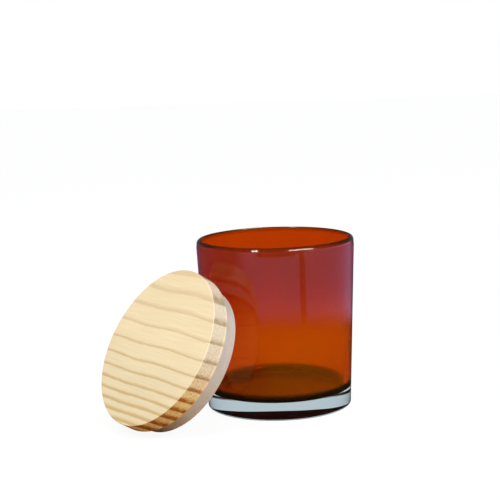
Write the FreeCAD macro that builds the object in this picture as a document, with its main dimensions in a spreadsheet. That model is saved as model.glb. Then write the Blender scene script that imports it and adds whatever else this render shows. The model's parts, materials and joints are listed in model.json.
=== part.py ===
import FreeCAD, Part
import math
import os

import Sketcher

# An empty candle jar in millimetres, +Z up: a clear glass tumbler with an amber coat inside, and beside it its
# pine lid with a silicone seal, leaning on the jar. The origin is the centre of the jar's base, on the surface
# that the jar and the lowest edge of the seal both stand on.

DRIVING_SIZES = {
    # glass tumbler
    "jar_height": 86.0,
    "rim_radius": 40.0,
    "foot_radius": 36.5,
    "rim_wall": 2.6,
    "mouth_depth": 11.0,
    "base_thickness": 8.0,
    "floor_radius": 33.4,
    "floor_corner_radius": 5.0,
    "foot_rounding": 1.0,
    "rim_outer_rounding": 1.9,
    "rim_inner_rounding": 0.6,
    # amber coat on the inside of the glass
    "coat_thickness": 0.1,
    "coat_below_rim": 0.6,
    # pine lid, turned in one piece
    "disc_radius": 40.5,
    "disc_thickness": 9.7,
    "face_easing": 0.4,
    "underside_rounding": 2.5,
    "plug_radius": 34.5,
    "plug_length": 6.7,
    "plug_easing": 0.5,
    # silicone seal round the plug
    "seal_height": 7.2,
    "seal_fit_gap": 0.05,
    "seal_band_radius": 37.2,
    "seal_lip_radius": 37.5,
    "seal_lip_height": 1.4,
    "seal_edge_rounding": 0.3,
    # the lid's lean: its tilt from lying flat, the way it stands from the jar, and its gap to the wall
    "lean_angle": 58.5,
    "lean_direction": 216.6,
    "lean_gap": 0.2,
}
AXIS = "0"
MATCH_TOLERANCE = 0.01
VERTICAL = FreeCAD.Vector(0, 0, 1)
SIDEWAYS = FreeCAD.Vector(0, 1, 0)


def make_sheet(doc):
    """Puts every driving size in an aliased cell of its own."""
    sheet = doc.addObject("Spreadsheet::Sheet", "dims")
    for row, (alias, value) in enumerate(DRIVING_SIZES.items(), start=1):
        sheet.set(f"A{row}", alias)
        sheet.set(f"B{row}", str(value))
        sheet.setAlias(f"B{row}", alias)
    doc.recompute()
    return sheet


def in_dims(expression):
    """The expression with each size's name pointing into the sheet."""
    words = expression.split()
    return " ".join(f"dims.{word}" if word in DRIVING_SIZES else word for word in words)


def size_of(doc, expression):
    return float(doc.dims.evalExpression(expression))


def make_body(doc, label):
    body = doc.addObject("PartDesign::Body", label)
    body.Label = label
    return body


def axial_profile(body, name, corners):
    """A closed outline on the body's XZ plane through its corners, each a (radius, height) pair."""
    sketch = body.newObject("Sketcher::SketchObject", name)
    plane = next(f for f in body.Origin.OriginFeatures if f.Role == "XZ_Plane")
    sketch.AttachmentSupport = [(plane, "")]
    sketch.MapMode = "FlatFace"
    doc = body.Document
    points = [FreeCAD.Vector(size_of(doc, r), size_of(doc, z), 0) for r, z in corners]
    for start, end in zip(points, points[1:] + points[:1]):
        sketch.addGeometry(Part.LineSegment(start, end), False)
    for line in range(len(corners)):
        next_line = (line + 1) % len(corners)
        sketch.addConstraint(Sketcher.Constraint("Coincident", line, 2, next_line, 1))
    for line, (radius, height) in enumerate(corners):
        hold_corner(sketch, line, "DistanceX", radius, -2)
        hold_corner(sketch, line, "DistanceY", height, -1)
    return sketch


def hold_corner(sketch, line, direction, expression, axis):
    """Holds the start of a line on a sketch axis, or at a distance that the sheet gives."""
    if expression == AXIS:
        sketch.addConstraint(Sketcher.Constraint("PointOnObject", line, 1, axis))
        return
    value = size_of(sketch.Document, expression)
    index = sketch.addConstraint(Sketcher.Constraint(direction, -1, 1, line, 1, value))
    sketch.setExpression(f"Constraints[{index}]", in_dims(expression))


def turn(body, kind, name, corners):
    """Turns an outline about the vertical axis: a Revolution adds it and a Groove cuts it away."""
    volume_before = body.Shape.Volume if body.Tip else 0.0
    sketch = axial_profile(body, name + "_outline", corners)
    feature = body.newObject("PartDesign::" + kind, name)
    feature.Profile = sketch
    feature.ReferenceAxis = (sketch, ["V_Axis"])
    feature.Angle = 360
    body.Document.recompute()
    change = body.Shape.Volume - volume_before
    if (change > 0) != (kind == "Revolution"):
        raise RuntimeError(f"{name} changed its body's volume the wrong way")


def round_rim(body, name, radius, height, rounding):
    """Rounds the circular edge that has this radius at this height."""
    doc = body.Document
    wanted_radius = size_of(doc, radius)
    wanted_height = size_of(doc, height)
    edges = []
    for number, edge in enumerate(body.Tip.Shape.Edges, start=1):
        curve = edge.Curve
        if not isinstance(curve, Part.Circle):
            continue
        same_radius = abs(curve.Radius - wanted_radius) < MATCH_TOLERANCE
        if same_radius and abs(curve.Center.z - wanted_height) < MATCH_TOLERANCE:
            edges.append(f"Edge{number}")
    if not edges:
        raise RuntimeError(f"{name} finds no edge to round")
    base = body.Tip
    fillet = body.newObject("PartDesign::Fillet", name)
    fillet.Base = (base, edges)
    fillet.setExpression("Radius", in_dims(rounding))
    doc.recompute()


def cavity_corners(inset, top):
    """The jar's hollow, drawn in by an inset: a flat floor, a tapered wall and a straight mouth."""
    mouth_radius = f"rim_radius - rim_wall - {inset}"
    return [
        (AXIS, f"base_thickness + {inset}"),
        (f"floor_radius - {inset}", f"base_thickness + {inset}"),
        (mouth_radius, "jar_height - mouth_depth"),
        (mouth_radius, top),
        (AXIS, top),
    ]


def make_glass_jar(doc):
    """A tumbler that widens from its foot to its fire-polished rim, on a thick clear base."""
    body = make_body(doc, "glass_jar")
    blank = [
        (AXIS, AXIS),
        ("foot_radius", AXIS),
        ("rim_radius", "jar_height"),
        (AXIS, "jar_height"),
    ]
    turn(body, "Revolution", "tumbler", blank)
    turn(body, "Groove", "hollow", cavity_corners("0", "jar_height + rim_wall"))
    round_rim(body, "foot_edge", "foot_radius", AXIS, "foot_rounding")
    round_rim(body, "rim_outside", "rim_radius", "jar_height", "rim_outer_rounding")
    round_rim(body, "rim_inside", "rim_radius - rim_wall", "jar_height", "rim_inner_rounding")
    round_rim(body, "floor_corner", "floor_radius", "base_thickness", "floor_corner_radius")


def make_amber_coat(doc):
    """A thin coat all over the hollow, up to where the rim starts to round over."""
    body = make_body(doc, "amber_coat")
    top = "jar_height - coat_below_rim"
    turn(body, "Revolution", "coat_outside", cavity_corners("0", top))
    turn(body, "Groove", "coat_inside", cavity_corners("coat_thickness", top))
    inner_radius = "floor_radius - coat_thickness"
    inner_height = "base_thickness + coat_thickness"
    round_rim(body, "inner_corner", inner_radius, inner_height, "floor_corner_radius - coat_thickness")
    round_rim(body, "outer_corner", "floor_radius", "base_thickness", "floor_corner_radius")


def make_pine_lid(doc):
    """A disc with a plug under it, turned from one board. Its heights count from the seal's free end."""
    body = make_body(doc, "pine_lid")
    plug_end = "seal_height - plug_length"
    face = "seal_height + disc_thickness"
    outline = [
        (AXIS, plug_end),
        ("plug_radius", plug_end),
        ("plug_radius", "seal_height"),
        ("disc_radius", "seal_height"),
        ("disc_radius", face),
        (AXIS, face),
    ]
    turn(body, "Revolution", "turned_board", outline)
    round_rim(body, "face_edge", "disc_radius", face, "face_easing")
    round_rim(body, "underside_edge", "disc_radius", "seal_height", "underside_rounding")
    round_rim(body, "plug_edge", "plug_radius", plug_end, "plug_easing")
    return body


def make_silicone_seal(doc):
    """A band with a raised lip round its free end, which meets the mouth of the jar."""
    body = make_body(doc, "silicone_seal")
    bore = "plug_radius + seal_fit_gap"
    outline = [
        (bore, AXIS),
        ("seal_lip_radius", AXIS),
        ("seal_lip_radius", "seal_lip_height"),
        ("seal_band_radius", "seal_lip_height + seal_lip_radius - seal_band_radius"),
        ("seal_band_radius", "seal_height"),
        (bore, "seal_height"),
    ]
    turn(body, "Revolution", "band", outline)
    round_rim(body, "outer_end_edge", "seal_lip_radius", AXIS, "seal_edge_rounding")
    round_rim(body, "inner_end_edge", bore, AXIS, "seal_edge_rounding")
    return body


def leaning_placement(doc):
    """Where the lid stands: its seal's rounded end edge on the ground and, at its top, near the jar's wall."""
    angle = math.radians(size_of(doc, "lean_angle"))
    rounding = size_of(doc, "seal_edge_rounding")
    ring_radius = size_of(doc, "seal_lip_radius - seal_edge_rounding")
    taper = size_of(doc, "(rim_radius - foot_radius) / jar_height")
    sine = math.sin(angle)
    cosine = math.cos(angle)
    height = rounding + ring_radius * sine - rounding * cosine
    touch_height = height + rounding * cosine + ring_radius * sine
    wall_radius = size_of(doc, "foot_radius") + taper * touch_height
    stand_off = (rounding + size_of(doc, "lean_gap")) * math.hypot(1, taper)
    distance = wall_radius + stand_off + ring_radius * cosine - rounding * sine
    facing = FreeCAD.Rotation(VERTICAL, size_of(doc, "lean_direction"))
    tilt = FreeCAD.Rotation(SIDEWAYS, size_of(doc, "lean_angle"))
    centre = facing.multVec(FreeCAD.Vector(distance, 0, height))
    return FreeCAD.Placement(centre, facing * tilt)


def check(doc):
    for item in doc.Objects:
        if "Invalid" in item.State or "Error" in item.State:
            raise RuntimeError(f"{item.Label} failed: {item.State}")
    for body in doc.findObjects("PartDesign::Body"):
        if body.Shape.isNull() or not body.Shape.isValid() or len(body.Shape.Solids) != 1:
            raise RuntimeError(f"{body.Label} isn't one sound solid")


def main():
    doc = FreeCAD.newDocument("candle_jar")
    make_sheet(doc)
    make_glass_jar(doc)
    make_amber_coat(doc)
    lean = leaning_placement(doc)
    for lid_piece in (make_pine_lid(doc), make_silicone_seal(doc)):
        lid_piece.Placement = lean
    doc.recompute()
    check(doc)
    print("lid placed at", lean.Base, "facing", lean.Rotation.multVec(VERTICAL))
    os.makedirs("parts", exist_ok=True)
    for body in doc.findObjects("PartDesign::Body"):
        body.Shape.exportStep(f"parts/{body.Label}.step")
        box = body.Shape.BoundBox
        print(f"{body.Label}: {body.Shape.Volume / 1000:.2f} ml, {box}")


main()
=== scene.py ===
import json
import math

import bpy
from mathutils import Matrix, Vector


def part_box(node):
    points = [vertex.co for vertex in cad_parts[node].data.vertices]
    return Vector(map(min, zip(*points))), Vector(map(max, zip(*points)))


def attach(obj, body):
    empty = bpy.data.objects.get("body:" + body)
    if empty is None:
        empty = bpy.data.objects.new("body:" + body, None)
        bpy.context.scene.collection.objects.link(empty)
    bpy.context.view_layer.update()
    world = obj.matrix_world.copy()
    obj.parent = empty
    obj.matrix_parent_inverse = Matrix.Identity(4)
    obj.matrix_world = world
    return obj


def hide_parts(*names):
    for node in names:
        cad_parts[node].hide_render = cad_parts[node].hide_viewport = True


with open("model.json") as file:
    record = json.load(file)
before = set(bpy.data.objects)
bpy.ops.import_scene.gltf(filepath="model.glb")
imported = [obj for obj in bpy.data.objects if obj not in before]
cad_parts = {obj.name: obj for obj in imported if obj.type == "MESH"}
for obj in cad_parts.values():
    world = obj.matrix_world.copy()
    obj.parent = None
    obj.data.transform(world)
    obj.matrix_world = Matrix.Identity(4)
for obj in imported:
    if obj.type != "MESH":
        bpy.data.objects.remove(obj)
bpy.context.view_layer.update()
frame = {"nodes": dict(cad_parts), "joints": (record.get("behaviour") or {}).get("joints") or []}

# An empty candle jar with its lid leaning on it: an amber-coated glass tumbler, a pine lid and a silicone
# seal. Every piece is an outline turned about an axis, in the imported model's own frame and in metres.

MM = 0.001
UP = Vector((0, 0, 1))
TURN_STEPS = 256
ARC_STEP = math.radians(9)
ON_AXIS = 1e-9

# ---------------------------------------------------------------------------------------------------------
# Sizes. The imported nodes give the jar's heights and the lid's place and outer sizes. The rest are the CAD's
# own.

JAR_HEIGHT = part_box("glass_jar")[1].z
FLOOR_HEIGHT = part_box("amber_coat")[0].z
RIM_RADIUS = 40.0 * MM
FOOT_RADIUS = 36.5 * MM
FOOT_ROUNDING = 1.0 * MM
RIM_OUTER_ROUNDING = 1.9 * MM
RIM_INNER_ROUNDING = 0.6 * MM
MOUTH_RADIUS = 37.4 * MM
MOUTH_DEPTH = 11.0 * MM
FLOOR_RADIUS = 33.4 * MM
FLOOR_CORNER = 5.0 * MM
COAT_THICKNESS = 0.1 * MM
PLUG_RADIUS = 34.5 * MM
PLUG_EASING = 0.5 * MM
UNDERSIDE_ROUNDING = 2.5 * MM
FACE_EASING = 0.4 * MM
SEAL_BORE_RADIUS = 34.55 * MM
SEAL_BAND_RADIUS = 37.2 * MM
SEAL_LIP_HEIGHT = 1.4 * MM
SEAL_BAND_START = 1.7 * MM
SEAL_EDGE_ROUNDING = 0.3 * MM

# Only in the visual model: the rim leans in a little, the mouth runs smoothly into the wall, the base is
# hollow inside its foot ring, and small edges are eased.
RIM_LEAN = 0.45 * MM
RIM_LEAN_DEPTH = 4.2 * MM
RIM_SHOULDER_ROUNDING = 4.0 * MM
MOUTH_BLEND = 30 * MM
PUNT_RADIUS = 32.0 * MM
PUNT_DEPTH = 0.8 * MM
PUNT_STEPS = 8
PUNT_EDGE_ROUNDING = 0.5 * MM
PUNT_ROUNDING_SHARE = 0.95
PLUG_CORNER_ROUNDING = 0.1 * MM
SEAL_LIP_EASING = 0.15 * MM
SEAL_TOP_EASING = 0.2 * MM
SEAL_BORE_EASING = 0.1 * MM

# The lacquer's two faces, as insets from the CAD's wall. Both lie in the glass, whose own inset is the
# coat's.
FILM_INSETS = (0.08 * MM, 0.04 * MM)
GLASS_SIDE = "glass_side"

LID_AXIS = Vector(next(j["axis"] for j in frame["joints"] if j["name"] == "lid_pull")).normalized()
LID_RIGHT = UP.cross(LID_AXIS).normalized()
LID_UP = LID_AXIS.cross(LID_RIGHT)
LID_AXES = (LID_RIGHT, LID_UP, LID_AXIS)


def spans_along(node, axes):
    """The lowest and highest reach of a CAD node's points along each axis."""
    points = [vertex.co for vertex in frame["nodes"][node].data.vertices]
    return [(min(p.dot(axis) for p in points), max(p.dot(axis) for p in points)) for axis in axes]


lid_across, lid_up, lid_out = spans_along("pine_lid", LID_AXES)
seal_across, _, seal_out = spans_along("silicone_seal", LID_AXES)
SEAL_END = seal_out[0]
SEAL_HEIGHT = seal_out[1] - SEAL_END
SEAL_LIP_RADIUS = (seal_across[1] - seal_across[0]) / 2
DISC_RADIUS = (lid_across[1] - lid_across[0]) / 2
LID_DEPTH = lid_out[1] - SEAL_END
PLUG_END = lid_out[0] - SEAL_END
LID_CENTRE = LID_RIGHT * (sum(lid_across) / 2) + LID_UP * (sum(lid_up) / 2) + LID_AXIS * SEAL_END
LID_FRAME = Matrix.Translation(LID_CENTRE) @ Matrix(LID_AXES).transposed().to_4x4()

# ---------------------------------------------------------------------------------------------------------
# Turned shapes: every piece is an outline of (radius, height, rounding) corners, turned about its axis.


def left_of(direction):
    """The direction turned a quarter anticlockwise."""
    return Vector((-direction.y, direction.x))


def outward(direction):
    """The outside of an outline that runs anticlockwise in (radius, height)."""
    return Vector((direction.y, -direction.x)).normalized()


def rotated(direction, angle):
    """The direction turned anticlockwise by an angle."""
    cosine, sine = math.cos(angle), math.sin(angle)
    return Vector((direction.x * cosine - direction.y * sine, direction.x * sine + direction.y * cosine))


def rounded(corners, closed):
    """Points and outward normals along an outline, with an arc in place of each corner that has a
    rounding."""
    flat = [Vector((radius, height)) for radius, height, _ in corners]
    count = len(corners)
    points = []
    for i, (_, _, rounding) in enumerate(corners):
        before = flat[i - 1] if closed or i > 0 else None
        after = flat[(i + 1) % count] if closed or i < count - 1 else None
        if before is None or after is None:
            direction = (after - flat[i]) if before is None else (flat[i] - before)
            points.append((flat[i], outward(direction)))
            continue
        incoming = (flat[i] - before).normalized()
        outgoing = (after - flat[i]).normalized()
        turn = incoming.angle_signed(outgoing)
        reach = rounding * math.tan(abs(turn) / 2)
        start = flat[i] - incoming * reach
        sense = -math.copysign(1, turn)
        centre = start + left_of(incoming) * rounding * sense
        steps = max(2, math.ceil(abs(turn) / ARC_STEP))
        for step in range(steps + 1):
            direction = rotated(incoming, -turn * step / steps)
            points.append((centre - left_of(direction) * rounding * sense, outward(direction)))
    return points


def faces_between(lower, upper):
    """The faces that join two neighbouring rings, either of which may be a single point on the axis."""
    faces = []
    for step in range(TURN_STEPS):
        following = (step + 1) % TURN_STEPS
        if len(lower) == 1:
            faces.append((lower[0], upper[following], upper[step]))
        elif len(upper) == 1:
            faces.append((lower[step], lower[following], upper[0]))
        else:
            faces.append((lower[step], lower[following], upper[following], upper[step]))
    return faces


def in_scene(name, data):
    """A new object that holds this data, linked into the scene."""
    made = bpy.data.objects.new(name, data)
    bpy.context.scene.collection.objects.link(made)
    return made


def turned(name, corners, closed, place=Matrix.Identity(4)):
    """A piece whose outline is turned about the vertical axis and then put in place, with exact normals."""
    vertices, normals, rings = [], [], []
    for point, normal in rounded(corners, closed):
        on_axis = point.x < ON_AXIS
        ring = []
        for step in range(1 if on_axis else TURN_STEPS):
            angle = 2 * math.pi * step / TURN_STEPS
            spoke = Vector((math.cos(angle), math.sin(angle), 0))
            ring.append(len(vertices))
            vertices.append(place @ (spoke * point.x + UP * point.y))
            lean = UP * math.copysign(1, normal.y) if on_axis else spoke * normal.x + UP * normal.y
            normals.append((place.to_3x3() @ lean).normalized())
        rings.append(ring)
    next_rings = rings[1:] + rings[:1] if closed else rings[1:]
    faces = []
    for lower, upper in zip(rings, next_rings):
        faces += faces_between(lower, upper)
    mesh = bpy.data.meshes.new(name)
    mesh.from_pydata(vertices, [], faces)
    mesh.polygons.foreach_set("use_smooth", [True] * len(mesh.polygons))
    mesh.normals_split_custom_set_from_vertices(normals)
    mesh.update()
    return in_scene(name, mesh)


# ---------------------------------------------------------------------------------------------------------
# Node helpers. A value given to them is a number, a colour or another node's output.

# The Mix node's sockets for its share and its two ends, and its output, for each kind of data.
MIX_SOCKETS = {"FLOAT": (0, 2, 3, 0), "RGBA": (0, 6, 7, 2)}


def new_tree(name):
    """A new material and its node tree, emptied."""
    material = bpy.data.materials.new(name)
    material.use_nodes = True
    material.node_tree.nodes.clear()
    return material, material.node_tree


def add(tree, kind, inputs=None, **settings):
    """A new node with its settings and its inputs."""
    made = tree.nodes.new(kind)
    for key, value in settings.items():
        setattr(made, key, value)
    for key, value in (inputs or {}).items():
        if isinstance(value, bpy.types.NodeSocket):
            tree.links.new(value, made.inputs[key])
        else:
            made.inputs[key].default_value = value
    return made


def maths(tree, operation, *values):
    """The result of an operation on numbers."""
    return add(tree, "ShaderNodeMath", dict(enumerate(values)), operation=operation).outputs[0]


def product(tree, first, *others):
    """All the values multiplied together."""
    for other in others:
        first = maths(tree, "MULTIPLY", first, other)
    return first


def vector_maths(tree, operation, *vectors):
    """The results of an operation on vectors, by number or name."""
    return add(tree, "ShaderNodeVectorMath", dict(enumerate(vectors)), operation=operation).outputs


def parts_of(tree, vector):
    """The X, Y and Z of a vector."""
    return add(tree, "ShaderNodeSeparateXYZ", {0: vector}).outputs


def along(tree, vector, axis):
    """How far a vector reaches along an axis."""
    return vector_maths(tree, "DOT_PRODUCT", vector, axis)["Value"]


def from_jar_axis(tree, place):
    """How far a place is from the jar's axis."""
    flat = vector_maths(tree, "MULTIPLY", place, (1, 1, 0))[0]
    return vector_maths(tree, "LENGTH", flat)["Value"]


def in_lid_frame(tree, place):
    """A place in the row frame as millimetres across, up and out of the lid's face, from the seal's end."""
    offset = vector_maths(tree, "SUBTRACT", place, LID_FRAME.translation)[0]
    parts = [maths(tree, "DIVIDE", along(tree, offset, axis), MM) for axis in LID_AXES]
    return add(tree, "ShaderNodeCombineXYZ", dict(enumerate(parts))).outputs[0]


def noise(tree, place, fineness, detail):
    """Noise whose features are as fine along each axis as asked, in repeats per unit of the place."""
    grid = vector_maths(tree, "MULTIPLY", place, fineness)[0]
    return add(tree, "ShaderNodeTexNoise", {"Vector": grid, "Scale": 1.0, "Detail": detail}).outputs[0]


def remap(tree, value, low, high, new_low=0.0, new_high=1.0, smooth=True):
    """A value taken from one range to another, held at its ends, by an S-shaped curve or a line."""
    node = add(
        tree,
        "ShaderNodeMapRange",
        {"Value": value, "From Min": low, "From Max": high, "To Min": new_low, "To Max": new_high},
        interpolation_type="SMOOTHSTEP" if smooth else "LINEAR",
    )
    return node.outputs[0]


def mix(tree, kind, share, first, second):
    """A value between two others, of one kind of data."""
    share_in, first_in, second_in, result = MIX_SOCKETS[kind]
    ends = {share_in: share, first_in: first, second_in: second}
    return add(tree, "ShaderNodeMix", ends, data_type=kind).outputs[result]


def mixed(tree, share, first, second):
    """A colour that goes from the first to the second as the share goes from 0 to 1."""
    return mix(tree, "RGBA", share, first, second)


def blend_value(tree, share, first, second):
    """A number that goes from the first to the second as the share goes from 0 to 1."""
    return mix(tree, "FLOAT", share, first, second)


def mixed_shader(tree, share, first, second):
    """A shader node that goes from the first to the second as the share goes from 0 to 1."""
    ends = {0: share, 1: first.outputs[0], 2: second.outputs[0]}
    return add(tree, "ShaderNodeMixShader", ends)


def tinted_by(tree, colour, level):
    """A colour made brighter or darker by a level."""
    return add(tree, "ShaderNodeVectorMath", {0: colour, "Scale": level}, operation="SCALE").outputs[0]


def bump(tree, relief, strength, distance):
    """Normals that follow a relief, whose full height is the distance."""
    inputs = {"Height": relief, "Strength": strength, "Distance": distance}
    return add(tree, "ShaderNodeBump", inputs).outputs[0]


def finished(tree, shader):
    """Puts a shader node on the material's surface."""
    add(tree, "ShaderNodeOutputMaterial", {"Surface": shader.outputs[0]})


# ---------------------------------------------------------------------------------------------------------
# Glass and lacquer


def clear_glass():
    """Clear glass with faint waves. Its rim and the inner corner of its floor have a softer gloss as well.
    Lamps shine straight through it."""
    material, tree = new_tree("clear_glass")
    place = add(tree, "ShaderNodeTexCoord").outputs["Object"]
    waves = add(tree, "ShaderNodeTexNoise", {"Vector": place, "Scale": 55.0, "Detail": 1.0}).outputs[0]
    height = parts_of(tree, place)[2]
    radius = from_jar_axis(tree, place)
    at_rim = remap(tree, height, JAR_HEIGHT - 2.6 * MM, JAR_HEIGHT - 1.8 * MM)
    inside = remap(tree, radius, FLOOR_RADIUS + 1.0 * MM, FLOOR_RADIUS + 1.4 * MM, 1.0, 0.0)
    above_base = remap(tree, height, FLOOR_HEIGHT - 2.0 * MM, FLOOR_HEIGHT - 1.0 * MM)
    near_floor = remap(tree, height, FLOOR_HEIGHT + 6.0 * MM, FLOOR_HEIGHT + 8.0 * MM, 1.0, 0.0)
    at_corner = product(tree, inside, above_base, near_floor)
    glass = add(
        tree,
        "ShaderNodeBsdfPrincipled",
        {
            "Base Color": (0.97, 0.985, 0.99, 1),
            "Roughness": 0.0,
            "IOR": 1.5,
            "Transmission Weight": 1.0,
            "Normal": bump(tree, waves, 0.05, 1.0 * MM),
            "Coat Weight": maths(tree, "MAXIMUM", at_rim, at_corner),
            "Coat Roughness": 0.08,
        },
    )
    for_lamps = add(tree, "ShaderNodeBsdfTransparent", {"Color": (0.93, 0.95, 0.96, 1)})
    lamp_ray = add(tree, "ShaderNodeLightPath").outputs["Is Shadow Ray"]
    finished(tree, mixed_shader(tree, lamp_ray, glass, for_lamps))
    return material


def film_tint(tree, place, low, in_corner, on_floor, glass_side):
    """The colour that one face of the lacquer lets through: streaky and paler low on the wall, deeper just
    under the rim and pale on its crest, dark where it has pooled, and next to none through the floor's
    glass side."""
    height = parts_of(tree, place)[2]
    runs = noise(tree, place, (70.0, 70.0, 14.0), 3.0)
    rich = mixed(tree, runs, (0.77, 0.200, 0.02, 1), (0.71, 0.160, 0.018, 1))
    wall = mixed(tree, low, rich, (0.82, 0.44, 0.03, 1))
    under_rim = remap(tree, height, JAR_HEIGHT - 2.6 * MM, JAR_HEIGHT - 1.2 * MM)
    on_crest = remap(tree, height, JAR_HEIGHT - 1.0 * MM, JAR_HEIGHT - 0.3 * MM)
    up_to_rim = mixed(tree, under_rim, wall, (0.56, 0.115, 0.007, 1))
    up_to_crest = mixed(tree, on_crest, up_to_rim, (0.80, 0.28, 0.05, 1))
    down_to_corner = mixed(tree, in_corner, up_to_crest, (0.20, 0.062, 0.005, 1))
    bottom = mixed(tree, glass_side, (0.64, 0.118, 0.007, 1), (0.015, 0.014, 0.014, 1))
    return mixed(tree, on_floor, down_to_corner, bottom)


def amber_film():
    """Amber lacquer on the inside of the glass: it tints what shows through it and scatters a little of the
    light that falls on it. It has run down and pooled round the floor."""
    material, tree = new_tree("amber_film")
    place = add(tree, "ShaderNodeTexCoord").outputs["Object"]
    height = parts_of(tree, place)[2]
    above_floor = maths(tree, "SUBTRACT", height, FLOOR_HEIGHT)
    glass_side = add(tree, "ShaderNodeAttribute", attribute_name=GLASS_SIDE).outputs["Fac"]
    low = remap(tree, height, 0.45 * JAR_HEIGHT, 0.75 * JAR_HEIGHT, 1.0, 0.0)
    in_corner = remap(tree, above_floor, 2.2 * MM, 5.5 * MM, 1.0, 0.0)
    on_floor = remap(tree, above_floor, 0.15 * MM, 0.9 * MM, 1.0, 0.0)
    tint = film_tint(tree, place, low, in_corner, on_floor, glass_side)
    seen_through = add(tree, "ShaderNodeBsdfTransparent", {"Color": tint})

    wall_colour = mixed(tree, low, (0.80, 0.48, 0.005, 1), (0.80, 0.50, 0.006, 1))
    floor_colour = mixed(tree, glass_side, (0.88, 0.27, 0.006, 1), (0.36, 0.36, 0.40, 1))
    colour = mixed(tree, on_floor, wall_colour, floor_colour)
    lit = add(tree, "ShaderNodeBsdfDiffuse", {"Color": colour})
    glow = add(tree, "ShaderNodeBsdfTranslucent", {"Color": colour})
    body = mixed_shader(tree, 0.5, lit, glow)

    cloudy = remap(tree, low, 0.0, 1.0, 0.045, 0.055, smooth=False)
    wall_share = blend_value(tree, in_corner, cloudy, 0.03)
    floor_share = blend_value(tree, glass_side, 0.26, 0.12)
    body_share = blend_value(tree, on_floor, wall_share, floor_share)
    finished(tree, mixed_shader(tree, body_share, seen_through, body))
    return material


# ---------------------------------------------------------------------------------------------------------
# Pine. Its places are in the lid's frame, in millimetres: across, up and out of the face.

# Growth lines: the height of the top one, their spacing there, how fast they close up below the middle, how
# far they climb for each millimetre of depth, and the length and start of their sway across the face.
TOP_LINE = 28.3
LINE_SPACING = 9.5
CROWDING = 0.00183
CLIMB = 0.15
SWAY_LENGTH = 47
SWAY_START = 0.15

# The height of the flattest grain, and how far from it the late wood is widest.
FLAT_GRAIN = 4.0
GRAIN_REACH = 36.0

# A year's growth counts from 0 to 1. Late wood starts its span before LATE_FROM, and ends at LATE_END of
# the next.
LATE_FROM = 0.85
LATE_END = 0.07
LATE_CURVE = 1.8


def growth_level(tree, in_mm, depth, fray):
    """How high each place would be if the growth lines were level and straight."""
    across, up, _ = parts_of(tree, in_mm)
    sway = maths(tree, "SINE", maths(tree, "MULTIPLY_ADD", across, 2 * math.pi / SWAY_LENGTH, SWAY_START))
    sway_reach = remap(tree, up, -25.0, 28.0, 0.15, 0.50, smooth=False)
    drift = noise(tree, in_mm, (0.03, 0.09, 0.05), 2.0)
    wander = maths(tree, "MULTIPLY_ADD", drift, 1.2, -0.6)
    ragged = maths(tree, "MULTIPLY_ADD", fray, 0.8, -0.4)
    bend = maths(tree, "ADD", maths(tree, "MULTIPLY_ADD", sway, sway_reach, wander), ragged)
    straightened = maths(tree, "SUBTRACT", up, bend)
    return maths(tree, "SUBTRACT", straightened, maths(tree, "MULTIPLY", depth, CLIMB))


def growth_season(tree, level):
    """How far into its year's growth each place is, from 0 to 1."""
    below = maths(tree, "MINIMUM", level, 0.0)
    crowded = product(tree, below, below, CROWDING)
    down = maths(tree, "SUBTRACT", TOP_LINE, level)
    years = maths(tree, "ADD", maths(tree, "DIVIDE", down, LINE_SPACING), crowded)
    return maths(tree, "FRACT", years)


def late_wood(tree, level, season, power, widening, narrowest):
    """How far each place is into its year's dark late wood, which builds up and stops short. It takes up
    more of the year the further it is from the flattest grain."""
    from_flat = maths(tree, "ABSOLUTE", maths(tree, "SUBTRACT", level, FLAT_GRAIN))
    steepness = maths(tree, "POWER", maths(tree, "DIVIDE", from_flat, GRAIN_REACH), power)
    span = maths(tree, "MULTIPLY_ADD", steepness, widening, narrowest)
    start = maths(tree, "SUBTRACT", LATE_FROM, span)
    full = maths(tree, "MULTIPLY_ADD", span, -0.5, 1.0)
    rising = maths(tree, "POWER", remap(tree, season, start, full, smooth=False), LATE_CURVE)
    ending = remap(tree, season, 0.0, LATE_END, 1.0, 0.0)
    return maths(tree, "MAXIMUM", rising, ending)


def face_wood(tree, in_mm, level, late, facing):
    """The colour of the face, and of the underside and the plug's end, which are paler: partly the turned
    wood's own colour, partly painted light on the underside's rounded edge."""
    up = parts_of(tree, in_mm)[1]
    blotches = noise(tree, in_mm, (0.02, 0.08, 0.08), 1.0)
    # Partly the wood's own colour, partly painted shade: the face's early and late wood are both darker
    # towards the bottom.
    low = mixed(tree, blotches, (0.70, 0.625, 0.42, 1), (0.66, 0.56, 0.36, 1))
    high = mixed(tree, blotches, (0.76, 0.65, 0.43, 1), (0.72, 0.60, 0.385, 1))
    early = mixed(tree, remap(tree, up, -30.0, 15.0), low, high)
    dark = mixed(tree, remap(tree, level, -5.0, 25.0), (0.545, 0.405, 0.205, 1), (0.62, 0.475, 0.29, 1))
    strength = remap(tree, level, -28.0, 5.0, 1.0, 0.70, smooth=False)
    face = mixed(tree, product(tree, late, strength), early, dark)
    # Partly painted light: the underside and the plug's end are paler, which brightens the underside's
    # rounded edge.
    turned_side = mixed(tree, late, (0.86, 0.78, 0.62, 1), (0.66, 0.54, 0.36, 1))
    return mixed(tree, remap(tree, facing, -0.1, 0.1), turned_side, face)


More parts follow.
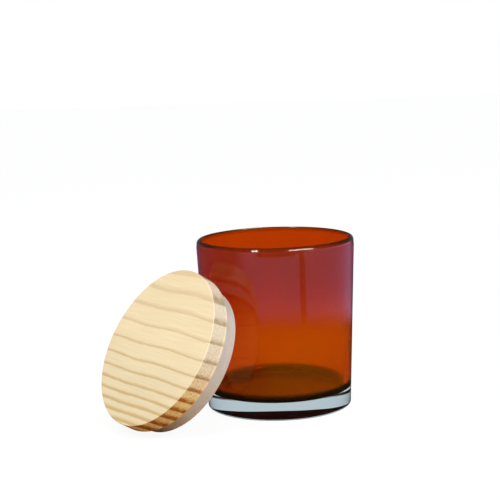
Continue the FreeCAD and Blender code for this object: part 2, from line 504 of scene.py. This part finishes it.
def edge_wood(tree, in_mm, depth, late, fray):
    """The colour of the end grain: strongly lined at the bottom, painted warmer and darker there and greyer
    at the top as shade and warm bounce light, and painted brighter on the underside's rounded edge, more so
    towards the top, as light."""
    up = parts_of(tree, in_mm)[1]
    # Painted shade and warm bounce light: the end grain is warmer and darker towards the bottom and greyer
    # towards the top.
    light = mixed(tree, remap(tree, up, -26.0, 4.0), (0.74, 0.55, 0.235, 1), (0.58, 0.51, 0.395, 1))
    dark = mixed(tree, remap(tree, up, -22.0, 0.0), (0.36, 0.100, 0.006, 1), (0.34, 0.27, 0.165, 1))
    patchy = remap(tree, fray, 0.30, 0.55, 0.75, 1.0)
    edge = mixed(tree, product(tree, late, patchy), light, dark)
    # Painted light: the underside's rounded edge is made brighter, more so towards the top.
    painted_light_on_rounding = product(tree, remap(tree, depth, 7.0, 8.4), remap(tree, up, -28.0, -2.0, 0.30, 0.60))
    return tinted_by(tree, edge, maths(tree, "ADD", painted_light_on_rounding, 1.0))


def pine():
    """Pine in the lid's own frame: growth rings cross the face as nearly level lines, wide apart at the top
    and close together at the bottom, and run straight through to the edge, where the end grain is
    darker."""
    material, tree = new_tree("pine")
    here = add(tree, "ShaderNodeTexCoord").outputs
    facing = along(tree, here["Normal"], LID_AXIS)
    end_grain = remap(tree, maths(tree, "ABSOLUTE", facing), 0.35, 0.75, 1.0, 0.0)
    in_mm = in_lid_frame(tree, here["Object"])
    _, up, out = parts_of(tree, in_mm)
    depth = maths(tree, "SUBTRACT", LID_DEPTH / MM, out)

    fray = noise(tree, in_mm, (0.22, 0.5, 0.3), 2.0)
    level = growth_level(tree, in_mm, depth, fray)
    season = growth_season(tree, level)
    face_late = late_wood(tree, level, season, power=1.7, widening=0.36, narrowest=0.05)
    edge_late = late_wood(tree, level, season, power=1.2, widening=0.50, narrowest=0.10)
    face = face_wood(tree, in_mm, level, face_late, facing)
    edge = edge_wood(tree, in_mm, depth, edge_late, fray)
    colour = mixed(tree, end_grain, face, edge)

    fibres = noise(tree, in_mm, (0.05, 2.2, 2.2), 3.0)
    pores = noise(tree, in_mm, (0.9, 1.5, 1.5), 4.0)
    streak = remap(tree, fibres, 0.30, 0.70, 0.93, 1.03, smooth=False)
    # Partly painted shade: the specks are darker towards the bottom.
    darkest_speck_with_painted_shade = remap(tree, up, -15.0, 10.0, 0.68, 0.86)
    speck = remap(tree, pores, 0.36, 0.58, darkest_speck_with_painted_shade, 1.04)
    texture = product(tree, streak, blend_value(tree, end_grain, 1.0, speck))

    lines_and_fibres = maths(tree, "ADD", product(tree, face_late, 0.5), product(tree, fibres, 0.6))
    relief = maths(tree, "ADD", lines_and_fibres, product(tree, pores, end_grain))
    wood = add(
        tree,
        "ShaderNodeBsdfPrincipled",
        {
            "Base Color": tinted_by(tree, colour, texture),
            "Roughness": remap(tree, face_late, 0.0, 1.0, 0.62, 0.5, smooth=False),
            "Normal": bump(tree, relief, 0.35, 0.2 * MM),
            "Specular IOR Level": 0.3,
        },
    )
    finished(tree, wood)
    return material


# ---------------------------------------------------------------------------------------------------------
# Silicone


def silicone():
    """Milky silicone: a satin, slightly see-through rubber, cloudy in patches, with faint moulding lines
    round it. Towards the end which stands on the table it is painted darker and warmer, as painted shade and
    warm bounce light."""
    material, tree = new_tree("silicone")
    place = add(tree, "ShaderNodeTexCoord").outputs["Object"]
    in_mm = in_lid_frame(tree, place)
    up = parts_of(tree, in_mm)[1]
    clouds = noise(tree, in_mm, (0.10, 0.10, 0.25), 3.0)
    grain = noise(tree, in_mm, (1.6, 1.6, 1.6), 3.0)
    lines = noise(tree, in_mm, (0.02, 0.02, 3.0), 2.0)
    milky = mixed(tree, remap(tree, clouds, 0.35, 0.65), (0.49, 0.465, 0.44, 1), (0.45, 0.42, 0.39, 1))
    # Painted shade and warm bounce light: the rubber turns darker and warmer towards the end that stands on
    # the table.
    painted_shade_share = remap(tree, up, -37.0, -24.0, 0.6, 0.0)
    milky_with_painted_shade = mixed(tree, painted_shade_share, milky, (0.25, 0.155, 0.085, 1))
    shade = remap(tree, grain, 0.35, 0.65, 0.93, 1.04, smooth=False)
    relief = maths(tree, "ADD", product(tree, lines, 0.7), product(tree, grain, 0.3))
    rubber = add(
        tree,
        "ShaderNodeBsdfPrincipled",
        {
            "Base Color": tinted_by(tree, milky_with_painted_shade, shade),
            "Roughness": remap(tree, clouds, 0.3, 0.7, 0.32, 0.48, smooth=False),
            "Normal": bump(tree, relief, 0.25, 0.2 * MM),
            "Subsurface Weight": 0.35,
            "Subsurface Scale": 2.0 * MM,
        },
    )
    finished(tree, rubber)
    return material


# ---------------------------------------------------------------------------------------------------------
# Pieces


def wall_outline(inset, top):
    """The inside of the jar from its mouth down to the middle of its floor, drawn in by an inset."""
    return [
        (MOUTH_RADIUS - inset, top, RIM_INNER_ROUNDING),
        (MOUTH_RADIUS - inset, JAR_HEIGHT - MOUTH_DEPTH, MOUTH_BLEND),
        (FLOOR_RADIUS - inset, FLOOR_HEIGHT + inset, FLOOR_CORNER - inset),
        (0, FLOOR_HEIGHT + inset, 0),
    ]


def punt():
    """The slight hollow under the base, inside its foot ring, as corners of a shallow dome."""
    dome_radius = PUNT_RADIUS**2 / (2 * PUNT_DEPTH)
    rounding = PUNT_ROUNDING_SHARE * dome_radius
    shares = [step / PUNT_STEPS for step in range(PUNT_STEPS)]
    return [(PUNT_RADIUS * share, PUNT_DEPTH * (1 - share**2), rounding) for share in shares]


def glass_piece():
    """The clear tumbler: up its outside from the hollow under its base, over the rim and down its
    inside."""
    shoulder = RIM_RADIUS - (RIM_RADIUS - FOOT_RADIUS) * RIM_LEAN_DEPTH / JAR_HEIGHT
    outside = punt() + [
        (PUNT_RADIUS, 0, PUNT_EDGE_ROUNDING),
        (FOOT_RADIUS, 0, FOOT_ROUNDING),
        (shoulder, JAR_HEIGHT - RIM_LEAN_DEPTH, RIM_SHOULDER_ROUNDING),
        (RIM_RADIUS - RIM_LEAN, JAR_HEIGHT, RIM_OUTER_ROUNDING),
    ]
    inside = wall_outline(COAT_THICKNESS, JAR_HEIGHT)
    return turned("jar_glass", outside + inside, closed=False)


def film_piece():
    """The lacquer, bonded to the glass: a film just inside the glass's inner face, from the crest of the
    rim down over the rim's rounding and the wall to the middle of the floor."""
    crest = RIM_RADIUS - RIM_LEAN - RIM_OUTER_ROUNDING
    layers = []
    for inset in FILM_INSETS:
        top = JAR_HEIGHT - COAT_THICKNESS + inset
        layers.append([(crest, top, 0)] + wall_outline(inset, top))
    inner, outer = layers
    film = turned("amber_film", outer[::-1] + inner, closed=False)
    hollow_middle = UP * (FLOOR_HEIGHT + JAR_HEIGHT) / 2
    faces_out = [face.normal.dot(face.center - hollow_middle) > 0 for face in film.data.polygons]
    side = film.data.attributes.new(GLASS_SIDE, "FLOAT", "FACE")
    side.data.foreach_set("value", [float(out) for out in faces_out])
    return film


jar_glass = glass_piece()
jar_glass.data.materials.append(clear_glass())
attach(jar_glass, "jar")
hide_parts("glass_jar")

film = film_piece()
film.data.materials.append(amber_film())
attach(film, "jar")
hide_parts("amber_coat")

lid_corners = [
    (0, PLUG_END, 0),
    (PLUG_RADIUS, PLUG_END, PLUG_EASING),
    (PLUG_RADIUS, SEAL_HEIGHT, PLUG_CORNER_ROUNDING),
    (DISC_RADIUS, SEAL_HEIGHT, UNDERSIDE_ROUNDING),
    (DISC_RADIUS, LID_DEPTH, FACE_EASING),
    (0, LID_DEPTH, 0),
]
lid = turned("pine_disc", lid_corners, closed=False, place=LID_FRAME)
lid.data.materials.append(pine())
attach(lid, "wooden_lid")
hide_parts("pine_lid")

seal_corners = [
    (SEAL_BORE_RADIUS, 0, SEAL_EDGE_ROUNDING),
    (SEAL_LIP_RADIUS, 0, SEAL_EDGE_ROUNDING),
    (SEAL_LIP_RADIUS, SEAL_LIP_HEIGHT, SEAL_LIP_EASING),
    (SEAL_BAND_RADIUS, SEAL_BAND_START, SEAL_EDGE_ROUNDING),
    (SEAL_BAND_RADIUS, SEAL_HEIGHT, SEAL_TOP_EASING),
    (SEAL_BORE_RADIUS, SEAL_HEIGHT, SEAL_BORE_EASING),
]
seal = turned("silicone_ring", seal_corners, closed=True, place=LID_FRAME)
seal.data.materials.append(silicone())
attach(seal, "seal")
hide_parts("silicone_seal")

# ---------------------------------------------------------------------------------------------------------
# Stage: a pale floor, a pale room, two soft lamps and the camera

BLACK = (0, 0, 0, 1)
WHITE = (1, 1, 1, 1)
FLOOR_REACH = 3.0
FLOOR_DROP = 0.05 * MM

# What the glass mirrors, a painted reflection that the floor glows only for reflected rays: a lavender sheet
# round the front and the right of the jar, with one dark upright bar in it. Its levels go by bearing, and it
# starts between these distances from the jar's axis.
LAVENDER = Vector((0.46, 0.42, 0.80))
SHEET_START = (0.188, 0.250)
MIRRORED_ROUND_THE_JAR = [
    (-60, 0.2),
    (-40, 1.0),
    (32, 1.0),
    (34, 0.2),
    (40, 0.2),
    (42, 1.0),
    (130, 1.0),
    (150, 0.2),
]

# The room as it shows through the glass.
ROOM_THROUGH_GLASS = (0.5, 0.6, 0.65, 1)

# The floor as it shows through the glass, as painted light: it dims between two distances from the jar's
# axis, from one level to the other, and has a painted shadow under the foot.
FADE_WITH_DISTANCE = (0.1, 0.4, 1.1, 0.8)
FOOT_SHADOW = (0.03, 0.025, 0.02, 1)
FOOT_SHADOW_EDGE = (FOOT_RADIUS, FOOT_RADIUS + 4 * MM)

# A lamp's name, place, width, height, power and colour. Both aim at a place inside the jar.
LAMP_AIM = Vector((0, 0, 0.04))
LAMPS = [
    ("left_lamp", (-0.49, -0.73, 0.80), 0.15, 0.10, 5.6, (1.0, 0.97, 0.93)),
    ("right_lamp", (0.62, -0.69, 0.72), 0.70, 0.14, 9.0, (1.0, 0.98, 0.97)),
]

# A long lens a little above the jar, which looks along +Y with the jar right of and below the middle.
SENSOR_WIDTH = 36.0
LENS = 105.5
CAMERA_DISTANCE = 0.7484
CAMERA_ELEVATION = math.radians(11.478)
CAMERA_ROLL = math.radians(1.691)
CAMERA_PAN = math.radians(1.066)
CAMERA_TILT = math.radians(2.747)


def by_ray(tree, path, ordinary, glossy, through, seen):
    """One colour for each kind of ray: what lights the pieces, what they mirror, what shows through them,
    and what the camera sees."""
    mirrored = mixed(tree, path["Is Glossy Ray"], ordinary, glossy)
    carried = mixed(tree, path["Is Transmission Ray"], mirrored, through)
    return mixed(tree, path["Is Camera Ray"], carried, seen)


def bearing_ramp(tree, side, back, stops):
    """A colour for each bearing round the jar, from -180 to 180 degrees, with 0 at the front and + to the
    right. The ramp holds half of each colour, so that no part of a stop is above 1."""
    bearing = maths(tree, "ARCTAN2", side, maths(tree, "MULTIPLY", back, -1.0))
    turn = maths(tree, "MULTIPLY_ADD", bearing, 1 / (2 * math.pi), 0.5)
    node = add(tree, "ShaderNodeValToRGB", {0: turn})
    elements = node.color_ramp.elements
    for degrees, colour in stops:
        elements.new(degrees / 360 + 0.5).color = (*(part / 2 for part in colour), 1)
    elements.remove(elements[0])
    elements.remove(elements[-1])
    return tinted_by(tree, node.outputs[0], 2.0)


def seen_through_glass(tree, reach):
    """The floor as it shows through the glass, as painted light: dimmer further from the jar, alike all
    round, with a painted shadow under the base."""
    beyond = tinted_by(tree, (1, 1, 1), remap(tree, reach, *FADE_WITH_DISTANCE))
    return mixed(tree, remap(tree, reach, *FOOT_SHADOW_EDGE), FOOT_SHADOW, beyond)


def floor_material():
    """White to the camera. For the glass's reflections only, it glows as a painted reflection: a lavender
    sheet that starts a hand's breadth from the jar. The pieces are lit by a dim warm bounce. From beneath,
    the floor is clear."""
    material, tree = new_tree("pale_floor")
    here = add(tree, "ShaderNodeNewGeometry").outputs
    path = add(tree, "ShaderNodeLightPath").outputs
    reach = from_jar_axis(tree, here["Position"])
    side, back, _ = parts_of(tree, here["Position"])

    sheet_stops = [(degrees, LAVENDER * level) for degrees, level in MIRRORED_ROUND_THE_JAR]
    sheet = bearing_ramp(tree, side, back, sheet_stops)
    mirrored = mixed(tree, remap(tree, reach, *SHEET_START), (0.02, 0.018, 0.02, 1), sheet)
    through = seen_through_glass(tree, reach)
    colour = by_ray(tree, path, BLACK, mirrored, through, (0.92, 0.92, 0.92, 1))
    glow = add(tree, "ShaderNodeEmission", {"Color": colour, "Strength": 1.0})
    bounce = by_ray(tree, path, (0.52, 0.36, 0.20, 1), BLACK, BLACK, (0.08, 0.08, 0.08, 1))
    lit = add(tree, "ShaderNodeBsdfDiffuse", {"Color": bounce})
    both = add(tree, "ShaderNodeAddShader", {0: glow.outputs[0], 1: lit.outputs[0]})
    gone = add(tree, "ShaderNodeBsdfTransparent")
    finished(tree, mixed_shader(tree, here["Backfacing"], both, gone))
    return material


def make_floor():
    """A square sheet just under the object."""
    mesh = bpy.data.meshes.new("floor")
    signs = [(-1, -1), (1, -1), (1, 1), (-1, 1)]
    corners = [(x * FLOOR_REACH, y * FLOOR_REACH, 0) for x, y in signs]
    mesh.from_pydata(corners, [], [(0, 1, 2, 3)])
    mesh.materials.append(floor_material())
    floor = in_scene("floor", mesh)
    floor.location.z = -FLOOR_DROP


def make_world():
    """A pale room that is white to the camera, dim where the glass mirrors it, and cool through the glass."""
    world = bpy.data.worlds.new("studio")
    bpy.context.scene.world = world
    world.use_nodes = True
    tree = world.node_tree
    tree.nodes.clear()
    direction = add(tree, "ShaderNodeTexCoord").outputs["Generated"]
    _, back, height = parts_of(tree, direction)
    path = add(tree, "ShaderNodeLightPath").outputs
    round_about = mixed(tree, remap(tree, back, -0.2, 0.6), (0.52, 0.52, 0.52, 1), (0.26, 0.26, 0.26, 1))
    ordinary = mixed(tree, remap(tree, height, 0.0, 0.9), round_about, (0.95, 0.97, 1.0, 1))
    overhead = remap(tree, height, 0.10, 0.32)
    mirrored = mixed(tree, overhead, (0.09, 0.075, 0.09, 1), (0.02, 0.02, 0.022, 1))
    colour = by_ray(tree, path, ordinary, mirrored, ROOM_THROUGH_GLASS, WHITE)
    background = add(tree, "ShaderNodeBackground", {"Color": colour, "Strength": 1.0})
    add(tree, "ShaderNodeOutputWorld", {"Surface": background.outputs[0]})


def area_lamp(name, position, width, height, power, colour):
    """A rectangular lamp that the camera doesn't see."""
    data = bpy.data.lights.new(name, "AREA")
    data.shape = "RECTANGLE"
    data.size = width
    data.size_y = height
    data.energy = power
    data.color = colour
    lamp = in_scene(name, data)
    lamp.location = position
    lamp.rotation_euler = (LAMP_AIM - Vector(position)).to_track_quat("-Z", "Y").to_euler()
    lamp.visible_camera = False


def make_camera():
    """The camera: aimed at the middle of the jar, rolled, and then turned left and up."""
    ahead = Vector((0, math.cos(CAMERA_ELEVATION), -math.sin(CAMERA_ELEVATION)))
    right = Vector((1, 0, 0))
    above = right.cross(ahead)
    rolled_right = right * math.cos(CAMERA_ROLL) - above * math.sin(CAMERA_ROLL)
    rolled_up = right * math.sin(CAMERA_ROLL) + above * math.cos(CAMERA_ROLL)
    panned = ahead * math.cos(CAMERA_PAN) - rolled_right * math.sin(CAMERA_PAN)
    camera_right = rolled_right * math.cos(CAMERA_PAN) + ahead * math.sin(CAMERA_PAN)
    forward = panned * math.cos(CAMERA_TILT) + rolled_up * math.sin(CAMERA_TILT)
    camera_up = rolled_up * math.cos(CAMERA_TILT) - panned * math.sin(CAMERA_TILT)
    data = bpy.data.cameras.new("camera")
    data.sensor_width = SENSOR_WIDTH
    data.lens = LENS
    camera = in_scene("camera", data)
    turn = Matrix((camera_right, camera_up, -forward)).transposed().to_4x4()
    aim = UP * JAR_HEIGHT / 2
    camera.matrix_world = Matrix.Translation(aim - ahead * CAMERA_DISTANCE) @ turn
    bpy.context.scene.camera = camera


make_floor()
make_world()
for lamp_settings in LAMPS:
    area_lamp(*lamp_settings)
make_camera()
bpy.context.scene.view_settings.view_transform = "Standard"
